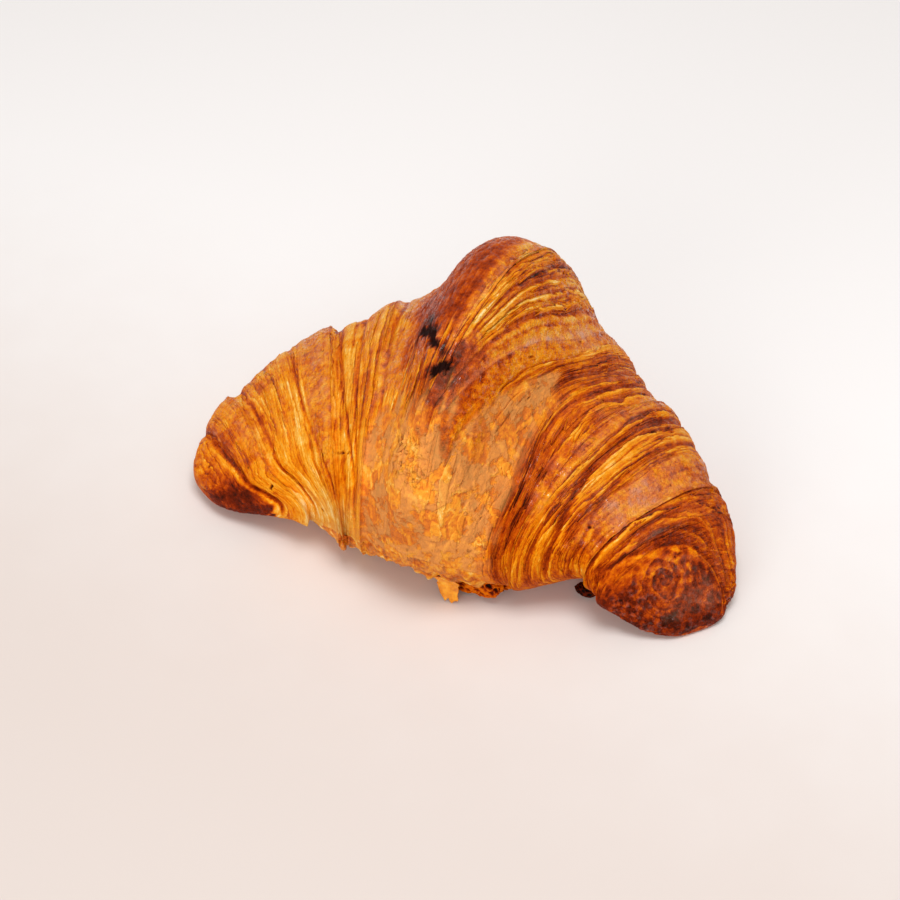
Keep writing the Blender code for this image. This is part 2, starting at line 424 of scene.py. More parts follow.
def furrow_depth(path, angle, plain, spread=1.0):
    """Depth of the named furrows in mm, with their sides spread wider for their painted shade."""
    lower = smooth((90.0 - angle) / 70.0)
    depth = np.zeros_like(path)
    for at_top, at_front, deep, half in FURROWS:
        away = (path - at_top - (at_front - at_top) * lower) / (half * spread)
        away = np.where(away * np.sign(at_top) > 0.0, away * 1.8, away)
        depth = np.maximum(depth, deep * np.exp(-away * away))
    return depth * (1.0 - plain) * smooth((angle + 30.0) / 40.0)


def coil_height(points, shake):
    """Height from 0 to 1 of the coil at the end of the roll, and how near it is."""
    away = points - np.array(COIL_CENTRE)
    across = away[..., 0] * 0.85 + away[..., 1] * 0.53
    upward = away[..., 2] * 0.75 + away[..., 1] * 0.45 - away[..., 0] * 0.25
    radius = np.hypot(across, upward) * 1000.0
    turns = radius / 2.6 + 0.9 * (shake - 0.5) - np.arctan2(upward, across) / (2.0 * np.pi)
    share = turns - np.floor(turns)
    return (1.0 - share) ** 0.8 * smooth(share / 0.14), np.exp(-(radius / 7.5) ** 4)


WRAP_CORNERS = [wrap[0] + 0.012 for wrap in RIGHT_WRAPS] + [-wrap[0] - 0.012 for wrap in LEFT_WRAPS]
print("furrows placed by eye:", len(FURROWS))

# %% [markdown]
# Depth is counted inward from the skin, so that the crust never grows out of the croissant's
# box. The three families of layers come first: a lip stands high and browns, and the low
# side behind it is painted darker, as painted shade. On glazed and flaky dough they fade to a trace.

# %% Depth and tone of the layers
FOLD_DEPTH = 0.60
LAYER_DEPTH = 0.62
LEAF_DEPTH = 0.30
LEVEL = 0.45


def layered_relief(path, angle, striped, fine):
    """Depth in mm of folds, layers and fine leaves, how brown they are with painted shade behind the lips,
    and the layers' lips.
    """
    upper = 0.50 + 0.50 * smooth((angle - 20.0) / 45.0)
    fold, fold_tone, fold_proud = leaves(path, angle, *FOLDS)
    layer, layer_tone, layer_proud = leaves(path, angle, *LAYERS)
    leaf, leaf_tone, leaf_proud = leaves(path, angle, *THIN_LEAVES)
    fold_height = np.sin(np.pi * np.clip(fold, 0.0, 1.0) ** 0.7) ** 0.7 * (0.4 + 0.6 * fold_proud)
    layer_height = LEVEL + ((1.0 - layer) ** 1.2 * smooth(layer / 0.10) - LEVEL) * layer_proud
    leaf_height = LEVEL + ((1.0 - leaf) * smooth(leaf / 0.16) - LEVEL) * leaf_proud
    depth = FOLD_DEPTH * (1.0 - fold_height) + LAYER_DEPTH * upper * (1.0 - layer_height)
    depth = depth + LEAF_DEPTH * upper * fine * (1.0 - leaf_height)
    # The low side behind each lip is painted darker, as painted shade.
    groove_shade = 0.17 * smooth((layer - 0.72) / 0.25) * layer_proud
    groove_shade = groove_shade + 0.17 * fine * smooth((leaf - 0.55) / 0.4) * leaf_proud
    lip = smooth((0.26 - layer) / 0.2) * smooth(layer / 0.06) * layer_proud
    edge = 0.12 * lip + 0.09 * fine * smooth((0.35 - leaf) / 0.25) * leaf_proud
    tone = 0.30 * (layer_tone - 0.5) + 0.16 * fine * (leaf_tone - 0.5) + 0.20 * (fold_tone - 0.5)
    return depth * striped, (tone + groove_shade - edge) * striped, lip * striped * upper


print("deepest that layers can go in mm:", round(FOLD_DEPTH + LAYER_DEPTH + LEAF_DEPTH, 2))

# %% [markdown]
# Glazed dough has blisters, the flank has scales that lie like shingles, its torn patch is
# all shards, and the caps are wrinkled. All four are cells or crags in space. Pushing the
# points about first gives the cells ragged borders in place of straight ones.

# %% Blisters, scales, shards and wrinkles
BLISTER_SIZE = 2.8
SCALE_SIZE = 3.6
SMALL_SCALE_SIZE = 1.7
BLISTER_DEPTH = 0.45
TEAR_DEPTH = 2.2
CHAR_DEPTH = 1.3
CAP_WRINKLE_DEPTH = 0.50


def patches(points, zone):
    """Depth in mm of blisters, scales, shards and wrinkles, and what browning needs of them."""
    blister, _, blister_own = cells(points + 0.0012 * push(points, 2.6, (73, 74, 76)), BLISTER_SIZE, 75)
    swell = np.clip(1.0 - blister * blister * 1.3, 0.0, 1.0) * (0.3 + 0.7 * blister_own)
    ragged = points * np.array([1.0, 1.0, 0.55]) + 0.006 * push(points, 3.4, (77, 78, 81))
    scale, scale_lead, scale_own = cells(ragged, SCALE_SIZE, 79)
    small_own = cells(ragged, SMALL_SCALE_SIZE, 80)[2]
    scales = 0.42 * (1.0 - scale_own) + 0.16 * (1.0 - small_own) + 0.12 * smooth(scale * 1.2)
    crag = crags(points, 2.2, 83)
    shards = np.floor(crags(points * np.array([1.0, 1.0, 0.6]), 3.0, 85) * 6.0) / 6.0
    crinkle = np.abs(2.0 * crags(points, 1.6, 86) - 1.0)
    wrinkle = np.abs(2.0 * crags(points, 4.5, 87) - 1.0)
    depth = BLISTER_DEPTH * zone["glaze"] * (1.0 - swell) + zone["flank"] * scales
    depth = depth + TEAR_DEPTH * zone["torn"] * (0.65 * shards + 0.35 * crag)
    depth = depth + CHAR_DEPTH * zone["char"] * crag + CAP_WRINKLE_DEPTH * zone["cap"] * wrinkle
    depth = depth + (0.03 + 0.20 * zone["glaze"] + 0.10 * zone["flank"]) * crinkle
    rim = smooth((0.16 - scale_lead) / 0.10) * scale_own
    return depth, {"blister": blister_own, "scale": scale_own, "small": small_own, "rim": rim,
                   "crag": crag, "shards": shards, "wrinkle": wrinkle}


print("blisters, scales and small scales in mm:", BLISTER_SIZE, SCALE_SIZE, SMALL_SCALE_SIZE)

# %% [markdown]
# Browning is one number, from 0 for raw dough to 1 for burnt. It starts from an even bake
# that grows to the right, and each zone then pulls it toward a browning of its own. Gloss,
# the places given a painted wet shine and the darkest browning that painted shade may reach
# in a hollow are masks of the same kind.

# %% Browning of the crust
PLAIN_BAKE = 0.370
GLAZED_BAKE = 0.51
FLAKY_BAKE = 0.39
TORN_BAKE = 0.22
CAP_BAKE = 0.65
UNDER_BAKE = 0.62
DARKEST_BAKE = 0.66


def toward(value, goal, share):
    """The value moved toward a goal by a share of the way."""
    return value + (goal - value) * share


def browning(lam, angle, points, zone, patch, form):
    """Browning, gloss and the other masks of the crust."""
    path, tone, striped, coil = form["path"], form["tone"], form["striped"], form["coil"]
    dark_wraps = 0.12 * smooth((path - 0.735) / 0.03) * (1.0 - smooth((path - 0.85) / 0.02))
    pale_lip = 0.20 * band(path, 0.150, 0.196, 0.016) * smooth((angle - 72.0) / 8.0)
    bake = PLAIN_BAKE + 0.125 * smooth((lam + 0.10) / 0.40) + dark_wraps - pale_lip + tone
    # The furrows are painted darker over a wider spread than their depth, as painted shade.
    bake = bake + 0.12 * furrow_depth(path, angle, zone["flank"], 2.2)
    bake = bake - 0.11 * smooth((-0.20 - lam) / 0.15) * smooth((25.0 - angle) / 30.0)
    shaded = band(lam, 0.345, 0.47, 0.04) * band(angle, 8.0, 82.0, 18.0)
    rust = smooth((crags(points * np.array([1.0, 1.0, 0.5]), 6.0, 92) - 0.58) / 0.14)
    bake = bake + 0.18 * shaded + (0.13 - 0.05 * smooth(lam / 0.2)) * rust
    face = band(lam, -0.28, 0.06, 0.05) * smooth((angle - 70.0) / 12.0)
    face = face * (1.0 - smooth((angle - 98.0) / 40.0))
    left_of_band = band(lam, -0.02, 0.30, 0.05) * band(angle, 50, 80, 8)
    glazed = GLAZED_BAKE + 0.23 * face + 0.12 * left_of_band + 0.16 * (patch["blister"] - 0.5)
    bake = toward(bake, glazed + 0.35 * tone, 0.85 * zone["glaze"]) + 0.13 * zone["warm"]
    orange = smooth((crags(points * np.array([1.0, 1.0, 0.6]), 7.0, 91) - 0.48) / 0.08)
    flaky = FLAKY_BAKE + 0.16 * (1.0 - patch["scale"]) + 0.10 * (1.0 - patch["small"])
    flaky = flaky + 0.14 * orange - 0.12 * patch["rim"] + 0.19 * zone["warm"]
    bake = toward(bake, flaky, 0.95 * zone["flank"])
    bake = toward(bake, TORN_BAKE + 0.30 * patch["shards"], 0.8 * zone["torn"])
    low_on_cap = smooth((0.022 - points[..., 2]) / 0.012)
    scorched = smooth((crags(points, 5.5, 94) - 0.40) / 0.25)
    capped = CAP_BAKE + low_on_cap * (0.13 + 0.13 * scorched) + 0.07 * (lam < 0.0)
    # Deeper wrinkles and the coil's grooves on the cap are painted darker, as painted shade.
    capped = capped + 0.10 * (patch["wrinkle"] - 0.3) - 0.05 * (coil - 0.5)
    bake = toward(toward(bake, capped, zone["cap"]), UNDER_BAKE, 0.85 * zone["under"])
    bake = bake + 0.34 * zone["halo"] * (0.25 + 1.0 * patch["crag"])
    # Painted wet shine: a mask for the glazed bands, and more faintly the right cap, that get painted sheen.
    painted_wet_shine = band(lam, 0.19, 0.31, 0.04) * band(angle, 76.0, 128.0, 14.0)
    painted_wet_shine = painted_wet_shine + 0.5 * band(lam, 0.62, 0.74, 0.04) * band(angle, 50.0, 100.0, 20.0)
    # The coil's grooves are painted darker, as painted shade, and the wet bands a little paler, as painted
    # highlight.
    bake = bake + 0.04 * form["coil_near"] * (1.0 - 2.0 * coil) - 0.06 * painted_wet_shine
    painted_wet_shine = painted_wet_shine + 0.15 * zone["cap"] * (lam > 0.0) * band(angle, 10.0, 120.0, 20.0)
    washed = striped * (0.35 + 0.65 * smooth((tone - 0.05) / 0.10)) * smooth((angle - 30.0) / 40.0)
    gloss = zone["glaze"] * (1.0 - 0.2 * zone["cap"] - 0.55 * face) + 0.7 * washed
    pale_foot = 0.7 * band(lam, -0.86, -0.30, 0.15) * smooth((30.0 - angle) / 30.0) * (1.0 - zone["cap"])
    darkest = DARKEST_BAKE + 0.16 * zone["cap"] - 0.05 * form["on_knob"] + 0.05 * face
    darkest = darkest - 0.06 * shaded + 0.24 * np.clip(zone["halo"], 0.0, 1.0) ** 1.5
    return {"bake": bake, "gloss": np.clip(gloss, 0.0, 1.0) * (1.0 - zone["char"]), "char": zone["char"],
            "flaky": np.clip(zone["flank"] + 0.7 * zone["torn"] + pale_foot, 0.0, 1.0),
            "striped": striped, "face": face, "painted_wet_shine": painted_wet_shine, "darkest": darkest}


print("browning of plain crust, glaze and caps:", PLAIN_BAKE, GLAZED_BAKE, CAP_BAKE)

# %% [markdown]
# The last step of the relief adds up the layers, the knob's narrow seams, the soft rise and
# fall of the dough, the patches, the furrows and the coil. The left arm is smoother than
# the right one, and the underside has less relief than the top.

# %% Relief of the crust
SKIN_SLACK = 0.35


def relief(lam, angle, points):
    """Depth in mm below the skin, sideways reach of the lips from 0 to 1, and the masks."""
    zone = zones(lam, angle, points)
    turn = (angle + 90.0) / 360.0
    place = station(lam, angle)
    on_knob = band(lam, 0.05, 0.24, 0.03) * smooth((angle - 70.0) / 12.0)
    on_left = smooth((-0.20 - lam) / 0.10)
    path = lean(lam, angle) + 0.018 * (soft_noise(place * 8, turn, 6, 61) - 0.5)
    path = path + 0.007 * (soft_noise(place * 28, turn, 19, 62) - 0.5)
    path = path + (0.0035 + 0.003 * on_knob) * (crags(points, 2.6, 63) - 0.5)
    striped = np.clip(1.0 - 0.80 * zone["glaze"] - 0.85 * zone["flank"] - 0.5 * zone["torn"], 0.06, 1.0)
    striped = striped * (1.0 - 0.55 * zone["under"]) * (1.0 - 0.5 * zone["cap"])
    depth, tone, lip = layered_relief(path, angle, striped, 1.0 - 0.55 * on_left)
    depth = depth * (1.0 - 0.40 * on_left) * (0.4 + 0.6 * smooth((angle + 25.0) / 40.0))
    seam, seam_tone, _ = leaves(path, angle, *KNOB_SEAMS)
    tone = tone * (1.0 - 0.30 * on_left)
    # The knob's seams vary in tone, and each seam's groove is painted darker, as painted shade.
    tone = tone + on_knob * (0.40 * (seam_tone - 0.55) + 0.15 * smooth((seam - 0.6) / 0.3))
    depth = depth + 0.30 * on_knob * smooth((seam - 0.45) / 0.5)
    depth = depth + 0.45 * (1.0 - soft_noise(place * 16, turn, 9, 71)) * (1.0 - 0.5 * zone["under"])
    depth = depth + 0.20 * (1.0 - rough_noise(place * 40, turn, 28, 72))
    corner = sum(np.exp(-((lam - at) / 0.016) ** 2) for at in WRAP_CORNERS)
    corner = corner * np.where(lam < MEETING_LAYER, 0.45, 0.8) * (1.0 - zone["under"])
    patch_depth, patch = patches(points, zone)
    coil, coil_near = coil_height(points, lumps(points, 3.6, 89))
    depth = depth + corner * smooth((angle - 20.0) / 40.0) + patch_depth
    depth = depth + (0.16 - 0.08 * striped) * lumps(points, 0.7, 88)
    depth = depth + furrow_depth(path, angle, zone["flank"])
    depth = depth + (0.26 * coil_near + 0.08 * zone["cap"] * (lam > 0.0)) * (1.0 - coil)
    form = {"path": path, "tone": tone, "striped": striped, "coil": coil, "coil_near": coil_near,
            "on_knob": on_knob}
    return np.maximum(depth - SKIN_SLACK, 0.0), lip, browning(lam, angle, points, zone, patch, form)


print("relief goes inward from a skin grown by", FLAKE_ALLOWANCE * 1000, "mm")

# %% [markdown]
# The crust is made as a grid of points whose rows follow the layers, so that a fine lip
# costs few points. Rows are spread so that they stand equally close everywhere on the
# side that shows most. Hollows are painted darker and ridges paler, as painted shade and
# light, by comparing each point's depth with its surroundings, and the masks are stored on
# the points for the material.

# %% Points of the crust
LAYER_STEP = 0.010
ANGLE_STEP = 1.5
LIP_REACH = 0.0003
LOOKED_AT = (10.0, 30.0, 50.0, 75.0, 100.0)


def unit(vectors):
    """Vectors of length one."""
    return vectors / np.maximum(np.linalg.norm(vectors, axis=-1, keepdims=True), 1e-12)


def crust_points(lam, angle):
    """Finished points, outward directions, depth in mm and masks on a grid of layers and angles."""
    points = skin(lam, angle)
    after, before = np.clip(lam + LAYER_STEP, -1.0, 1.0), np.clip(lam - LAYER_STEP, -1.0, 1.0)
    along = unit(skin(after, angle) - skin(before, angle))
    around = skin(lam, angle + ANGLE_STEP) - skin(lam, angle - ANGLE_STEP)
    outward = unit(np.cross(along, around))
    depth, lip, masks = relief(lam, angle, points)
    # Painted sheen: glossy crust that faces up gets a painted reflection mixed into its colour.
    masks["sheen"] = masks["gloss"] * smooth((outward[..., 2] - 0.42) / 0.4)
    masks["sheen"] = masks["sheen"] * (0.32 + 1.5 * masks["painted_wet_shine"] - 0.28 * masks["face"])
    taper = smooth((1.0 - np.abs(lam)) / 0.03)
    side = np.where(lam < MEETING_LAYER, 1.0, -1.0)
    points = points - outward * (depth * taper)[..., None] * 0.001
    points = points + along * (side * lip * taper)[..., None] * LIP_REACH
    points[..., 2] = np.maximum(points[..., 2], 0.0)
    return points, outward, depth, masks


def surroundings(values, rows, columns):
    """Mean of each point's neighbours over a patch of the grid."""
    around = np.concatenate([values[:, -columns:], values, values[:, :columns]], axis=1)
    total = np.cumsum(around, axis=1)
    across = (total[:, 2 * columns:] - total[:, :-2 * columns]) / (2.0 * columns)
    padded = np.concatenate([across[:1].repeat(rows, 0), across, across[-1:].repeat(rows, 0)])
    total = np.cumsum(padded, axis=0)
    return (total[2 * rows:] - total[:-2 * rows]) / (2.0 * rows)


def spread_rows(low, high, rows, spare):
    """Layer numbers of the rows, closer together where the layers are far apart."""
    fine = np.linspace(low, high, 2001)
    seen = []
    for angle in LOOKED_AT:
        level = np.full(fine.shape, angle)
        seen.append(np.linalg.norm(skin(fine + 0.001, level) - skin(fine - 0.001, level), axis=-1))
    gap = np.mean(seen, axis=0)
    travelled = np.cumsum(gap) - gap[0]
    inside = np.interp(np.linspace(0.0, travelled[-1], rows), travelled, fine)
    before = low - (inside[1] - inside[0]) * np.arange(spare, 0, -1)
    after = high + (inside[-1] - inside[-2]) * np.arange(1, spare + 1)
    return np.clip(np.concatenate([before, inside, after]), -1.0, 1.0)


print("rows from -0.2 to 0.2:", np.round(spread_rows(-0.2, 0.2, 5, 0), 3))

# %% [markdown]
# Three pieces share the crust: the left arm, the middle with the knob, and the right arm.
# They meet along natural creases, point on point, because all three use the same angles.

# %% Build the crust pieces
COLUMNS = 300
EVEN = np.linspace(0.0, 1.0, COLUMNS, endpoint=False)
ANGLES = 360.0 * (EVEN + 0.060 * (np.sin(2 * np.pi * (EVEN + 0.11)) - np.sin(2 * np.pi * 0.11))) - 90.0
KEPT_MASKS = ("bake", "gloss", "char", "flaky", "striped", "sheen")
ROLL_PLACES = ("across", "around")
ROLL_HALF_LENGTH = 85.0
ROLL_GIRTH = 200.0
LEFT_CREASE = -0.262
RIGHT_CREASE = 0.375
SPARE_ROWS = 14
HOLLOW_SHADE = 0.52


def grid_faces(rows, columns, closed):
    """Quads of a grid of points, closed around its columns or open."""
    wide = columns if closed else columns - 1
    row, column = np.meshgrid(np.arange(rows - 1), np.arange(wide), indexing="ij")
    following = (column + 1) % columns
    a, b = row * columns + column, row * columns + following
    return np.stack([a, a + columns, b + columns, b], axis=-1).reshape(-1, 4).tolist()


def close_end(places, faces, masks, ring, flip):
    """Close a ring of points with a fan of triangles to its middle."""
    tip = len(places)
    following = np.roll(ring, -1)
    pair = (following, ring) if flip else (ring, following)
    faces += [[tip, a, b] for a, b in zip(pair[0].tolist(), pair[1].tolist())]
    masks = {key: np.append(value.ravel(), value.ravel()[ring].mean()) for key, value in masks.items()}
    return np.vstack([places, places[ring].mean(axis=0)]), masks


def roll_places(masks, lam, angle):
    """Add to the masks where each point lies on the unrolled dough, in mm."""
    masks["across"] = lam * ROLL_HALF_LENGTH
    masks["around"] = (angle + 90.0) / 360.0 * ROLL_GIRTH


def dough_piece(name, places, faces, masks):
    """A finished piece of the croissant that carries its masks."""
    mesh = bpy.data.meshes.new(name)
    mesh.from_pydata(places.tolist(), [], faces)
    for key in KEPT_MASKS:
        values = np.ascontiguousarray(masks[key], dtype=np.float32).ravel()
        mesh.attributes.new(key, "FLOAT", "POINT").data.foreach_set("value", values)
    roll = np.zeros((len(places), 3), dtype=np.float32)
    roll[:, 0] = masks["across"].ravel()
    roll[:, 1] = masks["around"].ravel()
    mesh.attributes.new("roll", "FLOAT_VECTOR", "POINT").data.foreach_set("vector", roll.ravel())
    mesh.shade_smooth()
    piece = bpy.data.objects.new(name, mesh)
    bpy.context.scene.collection.objects.link(piece)
    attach(piece, "root")
    print(name, "has", len(mesh.polygons), "faces")
    return piece


def crust_piece(name, low, high, rows):
    """One piece of the crust between two layer numbers."""
    lam, angle = np.meshgrid(spread_rows(low, high, rows, SPARE_ROWS), ANGLES, indexing="ij")
    points, _, depth, masks = crust_points(lam, angle)
    # Painted shade and light: points deeper than their surroundings are browned darker, raised ones paler.
    hollow = depth - surroundings(depth, 7, 3)
    bake = masks["bake"] - 0.02 + HOLLOW_SHADE * np.clip(hollow, -0.40, 0.60)
    masks["bake"] = bake - 0.75 * np.maximum(bake - masks["darkest"], 0.0)
    roll_places(masks, lam, angle)
    keep = slice(SPARE_ROWS, SPARE_ROWS + rows)
    masks = {key: value[keep] for key, value in masks.items()}
    faces = grid_faces(rows, COLUMNS, True)
    places = points[keep].reshape(-1, 3)
    for end, tip_row in ((low, 0), (high, rows - 1)):
        if abs(end) == 1.0:
            ring = tip_row * COLUMNS + np.arange(COLUMNS)
            places, masks = close_end(places, faces, masks, ring, tip_row > 0)
    piece = dough_piece(name, places, faces, masks)
    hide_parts("croissant")
    return piece


left_arm = crust_piece("left_arm_crust", -1.0, LEFT_CREASE, 325)
middle = crust_piece("knob_and_flank_crust", LEFT_CREASE, RIGHT_CREASE, 332)
right_arm = crust_piece("right_arm_crust", RIGHT_CREASE, 1.0, 325)

# %% [markdown]
# Thin lips of dough stand off the layers and curl, and on the flank small scales have
# lifted. Each is a strip of crust copied from the surface under it, lifted more toward its
# free edge, cut to a ragged outline and given a little thickness. Copying the surface keeps
# every flake attached. All the flakes of a kind are one piece.

# %% Lifted lips and flakes
FLAKE_THICKNESS = 0.00014
FLAKE_CLEARANCE = 0.00002


def plate_faces(rows, columns):
    """Faces of a thin closed plate: a grid, its copy underneath and a rim between them."""
    count = rows * columns
    top = grid_faces(rows, columns, False)
    bottom = [[a + count, d + count, c + count, b + count] for a, b, c, d in top]
    rim = [*range(columns - 1), *[r * columns + columns - 1 for r in range(rows - 1)],
           *range(count - 1, count - columns, -1), *[r * columns for r in range(rows - 1, 0, -1)]]
    return top + bottom + [[a, b, b + count, a + count] for a, b in zip(rim, rim[1:] + rim[:1])]


def both_sides(masks):
    """The stored masks, once for a plate's top and once for its bottom."""
    return {key: np.tile(masks[key].ravel(), 2) for key in (*KEPT_MASKS, *ROLL_PLACES)}


def flake_strip(centre, angle, width, length, lift, paler, rng):
    """Points, faces and masks of a flake; width in layer numbers, length in degrees, lift in mm."""
    rows, columns = 5, max(5, int(length / 2.2))
    share = np.linspace(0.0, 1.0, rows)
    side = 1.0 if centre < MEETING_LAYER else -1.0
    across = centre + side * width * (share - 0.5)
    around = angle + length * np.linspace(-0.5, 0.5, columns)
    lam, turn = np.meshgrid(across, around, indexing="ij")
    points, outward, _, masks = crust_points(np.clip(lam, -0.995, 0.995), turn)
    ends = np.sin(np.pi * np.linspace(0.04, 0.96, columns)) ** 0.5
    ragged = np.clip(ends * (0.75 + 0.25 * rng.random(columns)), 0.0, 1.0)
    base = points[:1] + outward[:1] * FLAKE_CLEARANCE
    points = base + (points - base) * ragged[None, :, None]
    curl = share[:, None] ** 1.6 * (0.35 + 0.65 * rng.random(columns))[None, :] * ragged[None, :]
    points = points + outward * (0.06 + lift * curl)[..., None] * 0.001
    points[..., 2] = np.maximum(points[..., 2], UNSEEN_LIFT)
    under = points - outward * FLAKE_THICKNESS
    places = np.concatenate([points.reshape(-1, 3), under.reshape(-1, 3)])
    roll_places(masks, lam, turn)
    masks["bake"] = masks["bake"] + 0.07 - paler - 0.16 * share[:, None]
    return places, plate_faces(rows, columns), both_sides(masks)


def flake_piece(name, flakes, seed):
    """One piece made of many flakes, each given as centre, angle, width, length and lift."""
    rng = np.random.default_rng(seed)
    places, faces, masks, count = [], [], [], 0
    for flake in flakes:
        points, quads, values = flake_strip(*flake, rng)
        faces += [[corner + count for corner in quad] for quad in quads]
        places.append(points)
        masks.append(values)
        count += len(points)
    joined = {key: np.concatenate([values[key] for values in masks]) for key in masks[0]}
    return dough_piece(name, np.concatenate(places), faces, joined)


def scattered(count, low, high, from_angle, to_angle, widths, lengths, lifts, seed, paler=0.0):
    """Flakes scattered between two layers and two angles."""
    rng = np.random.default_rng(seed)
    least, most = np.array([(low, high), (from_angle, to_angle), widths, lengths, lifts]).T
    return [(*(least + (most - least) * pick), paler) for pick in rng.random((count, 5))]


lips = scattered(60, -0.92, -0.28, 10, 185, (0.006, 0.016), (8, 34), (0.10, 0.34), 201)
lips += scattered(45, 0.04, 0.20, 82, 150, (0.008, 0.020), (8, 26), (0.15, 0.6), 202)
lips += scattered(110, 0.31, 0.84, 5, 190, (0.006, 0.018), (8, 34), (0.12, 0.42), 203)
layer_lips = flake_piece("lifted_layer_lips", lips, 204)
scales = scattered(12, 0.24, 0.345, 0, 56, (0.006, 0.014), (5, 16), (0.06, 0.20), 211, 0.04)
scales += scattered(44, -0.14, 0.23, 28, 46, (0.03, 0.08), (2, 5), (0.5, 1.4), 213, 0.02)
scales.append((0.288, 31.0, 0.017, 33.0, 0.45, 0.22))
flank_scales = flake_piece("lifted_flank_scales", scales, 214)

# %% [markdown]
# Along the front foot the dough has melted, run and caramelised into a ragged frill. It is
# one closed strip that follows the crust under the belly and swells out by uneven amounts,
# with crags on top, so it grows out of the croissant instead of leaning on it.

# %% Caramelised frill at the foot
def frill(name, low, high, rows, from_angle, to_angle, columns, swell):
    """A closed ragged strip on the crust between two layers and two angles; swell in mm."""
    down = np.linspace(from_angle, to_angle, columns)
    lam, angle = np.meshgrid(np.linspace(low, high, rows), down, indexing="ij")
    points, outward, _, masks = crust_points(lam, angle)
    place = station(lam, angle)
    ragged = rough_noise(place * 26, np.full(lam.shape, 0.31), 9, 301)
    ragged = smooth((ragged - 0.26) / 0.45) * smooth((lam - low) / 0.08) * smooth((high - lam) / 0.02)
    profile = np.sin(np.pi * np.linspace(0.0, 1.0, columns)) ** 0.6
    fine = crags(points, 2.0, 303)
    crag = np.abs(2.0 * fine - 1.0)
    lump = lumps(points, 2.6, 306)
    height = profile * (0.15 + swell * ragged * (0.25 + 0.75 * lump) + 0.6 * crag * (0.3 + 0.7 * ragged))
    outer = points + outward * (height - 0.12)[..., None] * 0.001
    outer[..., 2] = np.maximum(outer[..., 2] - 0.0004 * ragged * profile * fine, UNSEEN_LIFT)
    inner = points - outward * 0.0012
    inner[..., 2] = np.maximum(inner[..., 2], UNSEEN_LIFT / 2)
    places = np.concatenate([outer.reshape(-1, 3), inner.reshape(-1, 3)])
    masks["bake"] = 0.38 + 0.16 * ragged + 0.60 * (0.3 - crag) + 0.40 * (0.5 - lump)
    masks["gloss"] = 0.4 * ragged
    masks["striped"] = np.full(lam.shape, 0.3)
    masks["flaky"] = np.full(lam.shape, 0.6)
    roll_places(masks, place, angle)
    return dough_piece(name, places, plate_faces(rows, columns), both_sides(masks))


foot_frill = frill("caramelised_foot_frill", -0.74, 0.345, 500, -9.0, -58.0, 36, 1.6)

# %% [markdown]
# Three bits stick out at the foot: a patch of open brown crumb under the belly, a scorched
# chip in the arch, and a clear amber flake of sugar that hangs from the frill to the table.
# The first two are lumps with pits pressed into them; the flake is a thin crumpled plate.

# %% Open crumb, scorched chip and amber flake
def pitted_lump(name, centre, radii, pits, deep, bake, seed):
    """A lump with pits; centre, radii, width of the pits and their depth in mm."""
    rows, columns = 60, 110
    round_about = np.linspace(0, 2 * np.pi, columns, endpoint=False)
    polar, turn = np.meshgrid(np.linspace(0.03, np.pi - 0.03, rows), round_about, indexing="ij")
    way = np.stack([np.sin(polar) * np.cos(turn), np.sin(polar) * np.sin(turn), np.cos(polar)], axis=-1)
    rough = way * np.array(radii) * 0.001
    bent = rough + 0.0008 * push(rough, 1.5, (seed + 3, seed + 4, seed + 5))
    _, lead, own = cells(bent, pits, seed)
    wall = smooth(lead / 0.45)
    lumpy = crags(rough, 4.0, seed + 1)
    size = np.array(radii) * (0.75 + 0.45 * lumpy)[..., None]
    size = size - (deep * wall * (0.4 + 0.6 * own))[..., None]
    places = (np.array(centre) + way * size) * 0.001
    places[..., 2] = np.maximum(places[..., 2], UNSEEN_LIFT)
    masks = {key: np.zeros(lumpy.shape) for key in KEPT_MASKS}
    # The pits are painted darker and the walls between them paler, as painted shade.
    masks["bake"] = bake + 0.30 * wall * (0.5 + own) - 0.12 * (1.0 - wall)
    masks["across"] = polar * 6.0
    masks["around"] = turn * 4.0
    places = places.reshape(-1, 3)
    faces = grid_faces(rows, columns, True)
    for row in (0, rows - 1):
        places, masks = close_end(places, faces, masks, row * columns + np.arange(columns), row == 0)
    return dough_piece(name, places, faces, masks)


open_crumb = pitted_lump("open_brown_crumb", (13.2, -34.2, 5.2), (10.6, 5.0, 4.6), 1.6, 1.2, 0.60, 311)
scorched_chip = pitted_lump("scorched_chip", (42.0, -24.9, 1.6), (3.2, 2.2, 1.6), 1.2, 0.5, 0.92, 321)


def amber_plate():
    """Points and faces of the thin clear flake, corner to corner, in metres."""
    rows, columns = 26, 20
    down, across = np.meshgrid(np.linspace(0.0, 1.0, rows), np.linspace(-1.0, 1.0, columns), indexing="ij")
    rim = 0.80 + 0.35 * (soft_noise(down * 5.0, across * 0.0 + 0.2, 5, 331) - 0.5)
    width = (3.7 - 1.5 * down ** 3) * np.where(across > 0, rim, 1.75 - rim)
    x = 6.4 + 1.1 * down + across * width
    z = 10.2 - 9.9 * down * (0.80 + 0.28 * soft_noise(across * 2.0 + 4.0, down * 0.0 + 0.4, 5, 332))
    y = -42.7 + 1.5 * np.sin(down * 2.6) - 0.9 * (rough_noise(down * 3.0, across * 0.25 + 0.4, 7, 333) - 0.5)
    front = np.stack([x, y, z], axis=-1) * 0.001
    back = front + np.array([0.0, 0.00035, 0.0])
    places = np.concatenate([front.reshape(-1, 3), back.reshape(-1, 3)])
    places[:, 2] = np.maximum(places[:, 2], UNSEEN_LIFT)
    masks = {key: np.zeros(len(places)) for key in (*KEPT_MASKS, *ROLL_PLACES)}
    return dough_piece("amber_sugar_flake", places, plate_faces(rows, columns), masks)


amber_flake = amber_plate()

